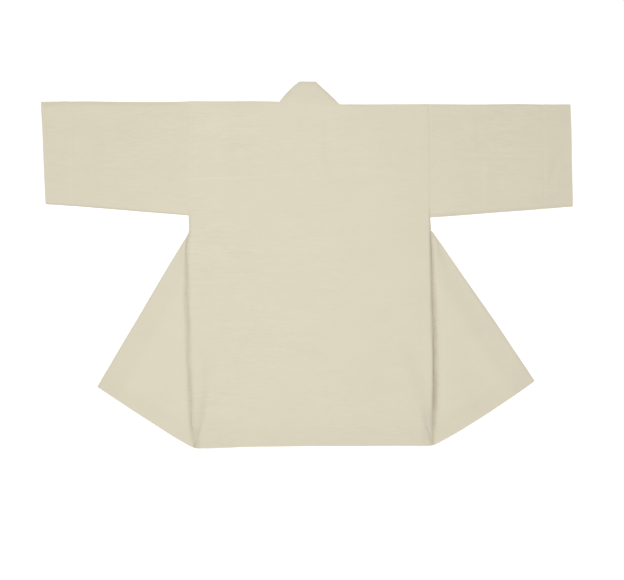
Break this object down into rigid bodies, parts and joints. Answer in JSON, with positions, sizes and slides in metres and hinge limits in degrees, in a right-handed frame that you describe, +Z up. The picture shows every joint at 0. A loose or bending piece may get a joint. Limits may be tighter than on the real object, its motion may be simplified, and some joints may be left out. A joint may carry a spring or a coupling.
{
  "type": "happi coat",
  "caption": "Short straight-sleeved cotton coat, laid flat with its back up, its sleeves straight out and its folded side gores spread.",
  "frame": {"origin": "under the middle of the laid coat, on the surface that it lies on", "axes": "+Z up, out of the coat's back; +Y towards the neck; +X across, towards the wearer's right sleeve"},
  "size_m": [1.2999, 0.8975, 0.0068],
  "materials": {
    "body_cloth": "matt ivory slub cotton, plain weave",
    "sleeve_cloth": "matt ivory slub cotton, plain weave",
    "gore_cloth": "matt ivory slub cotton, plain weave",
    "band_cloth": "matt ivory slub cotton, plain weave, doubled"
  },
  "bodies": {
    "root": {"body": "body_cloth", "sleeve_left": "sleeve_cloth", "sleeve_right": "sleeve_cloth", "gore_left": "gore_cloth", "gore_right": "gore_cloth", "neckband": "band_cloth"}
  },
  "joints": []
}
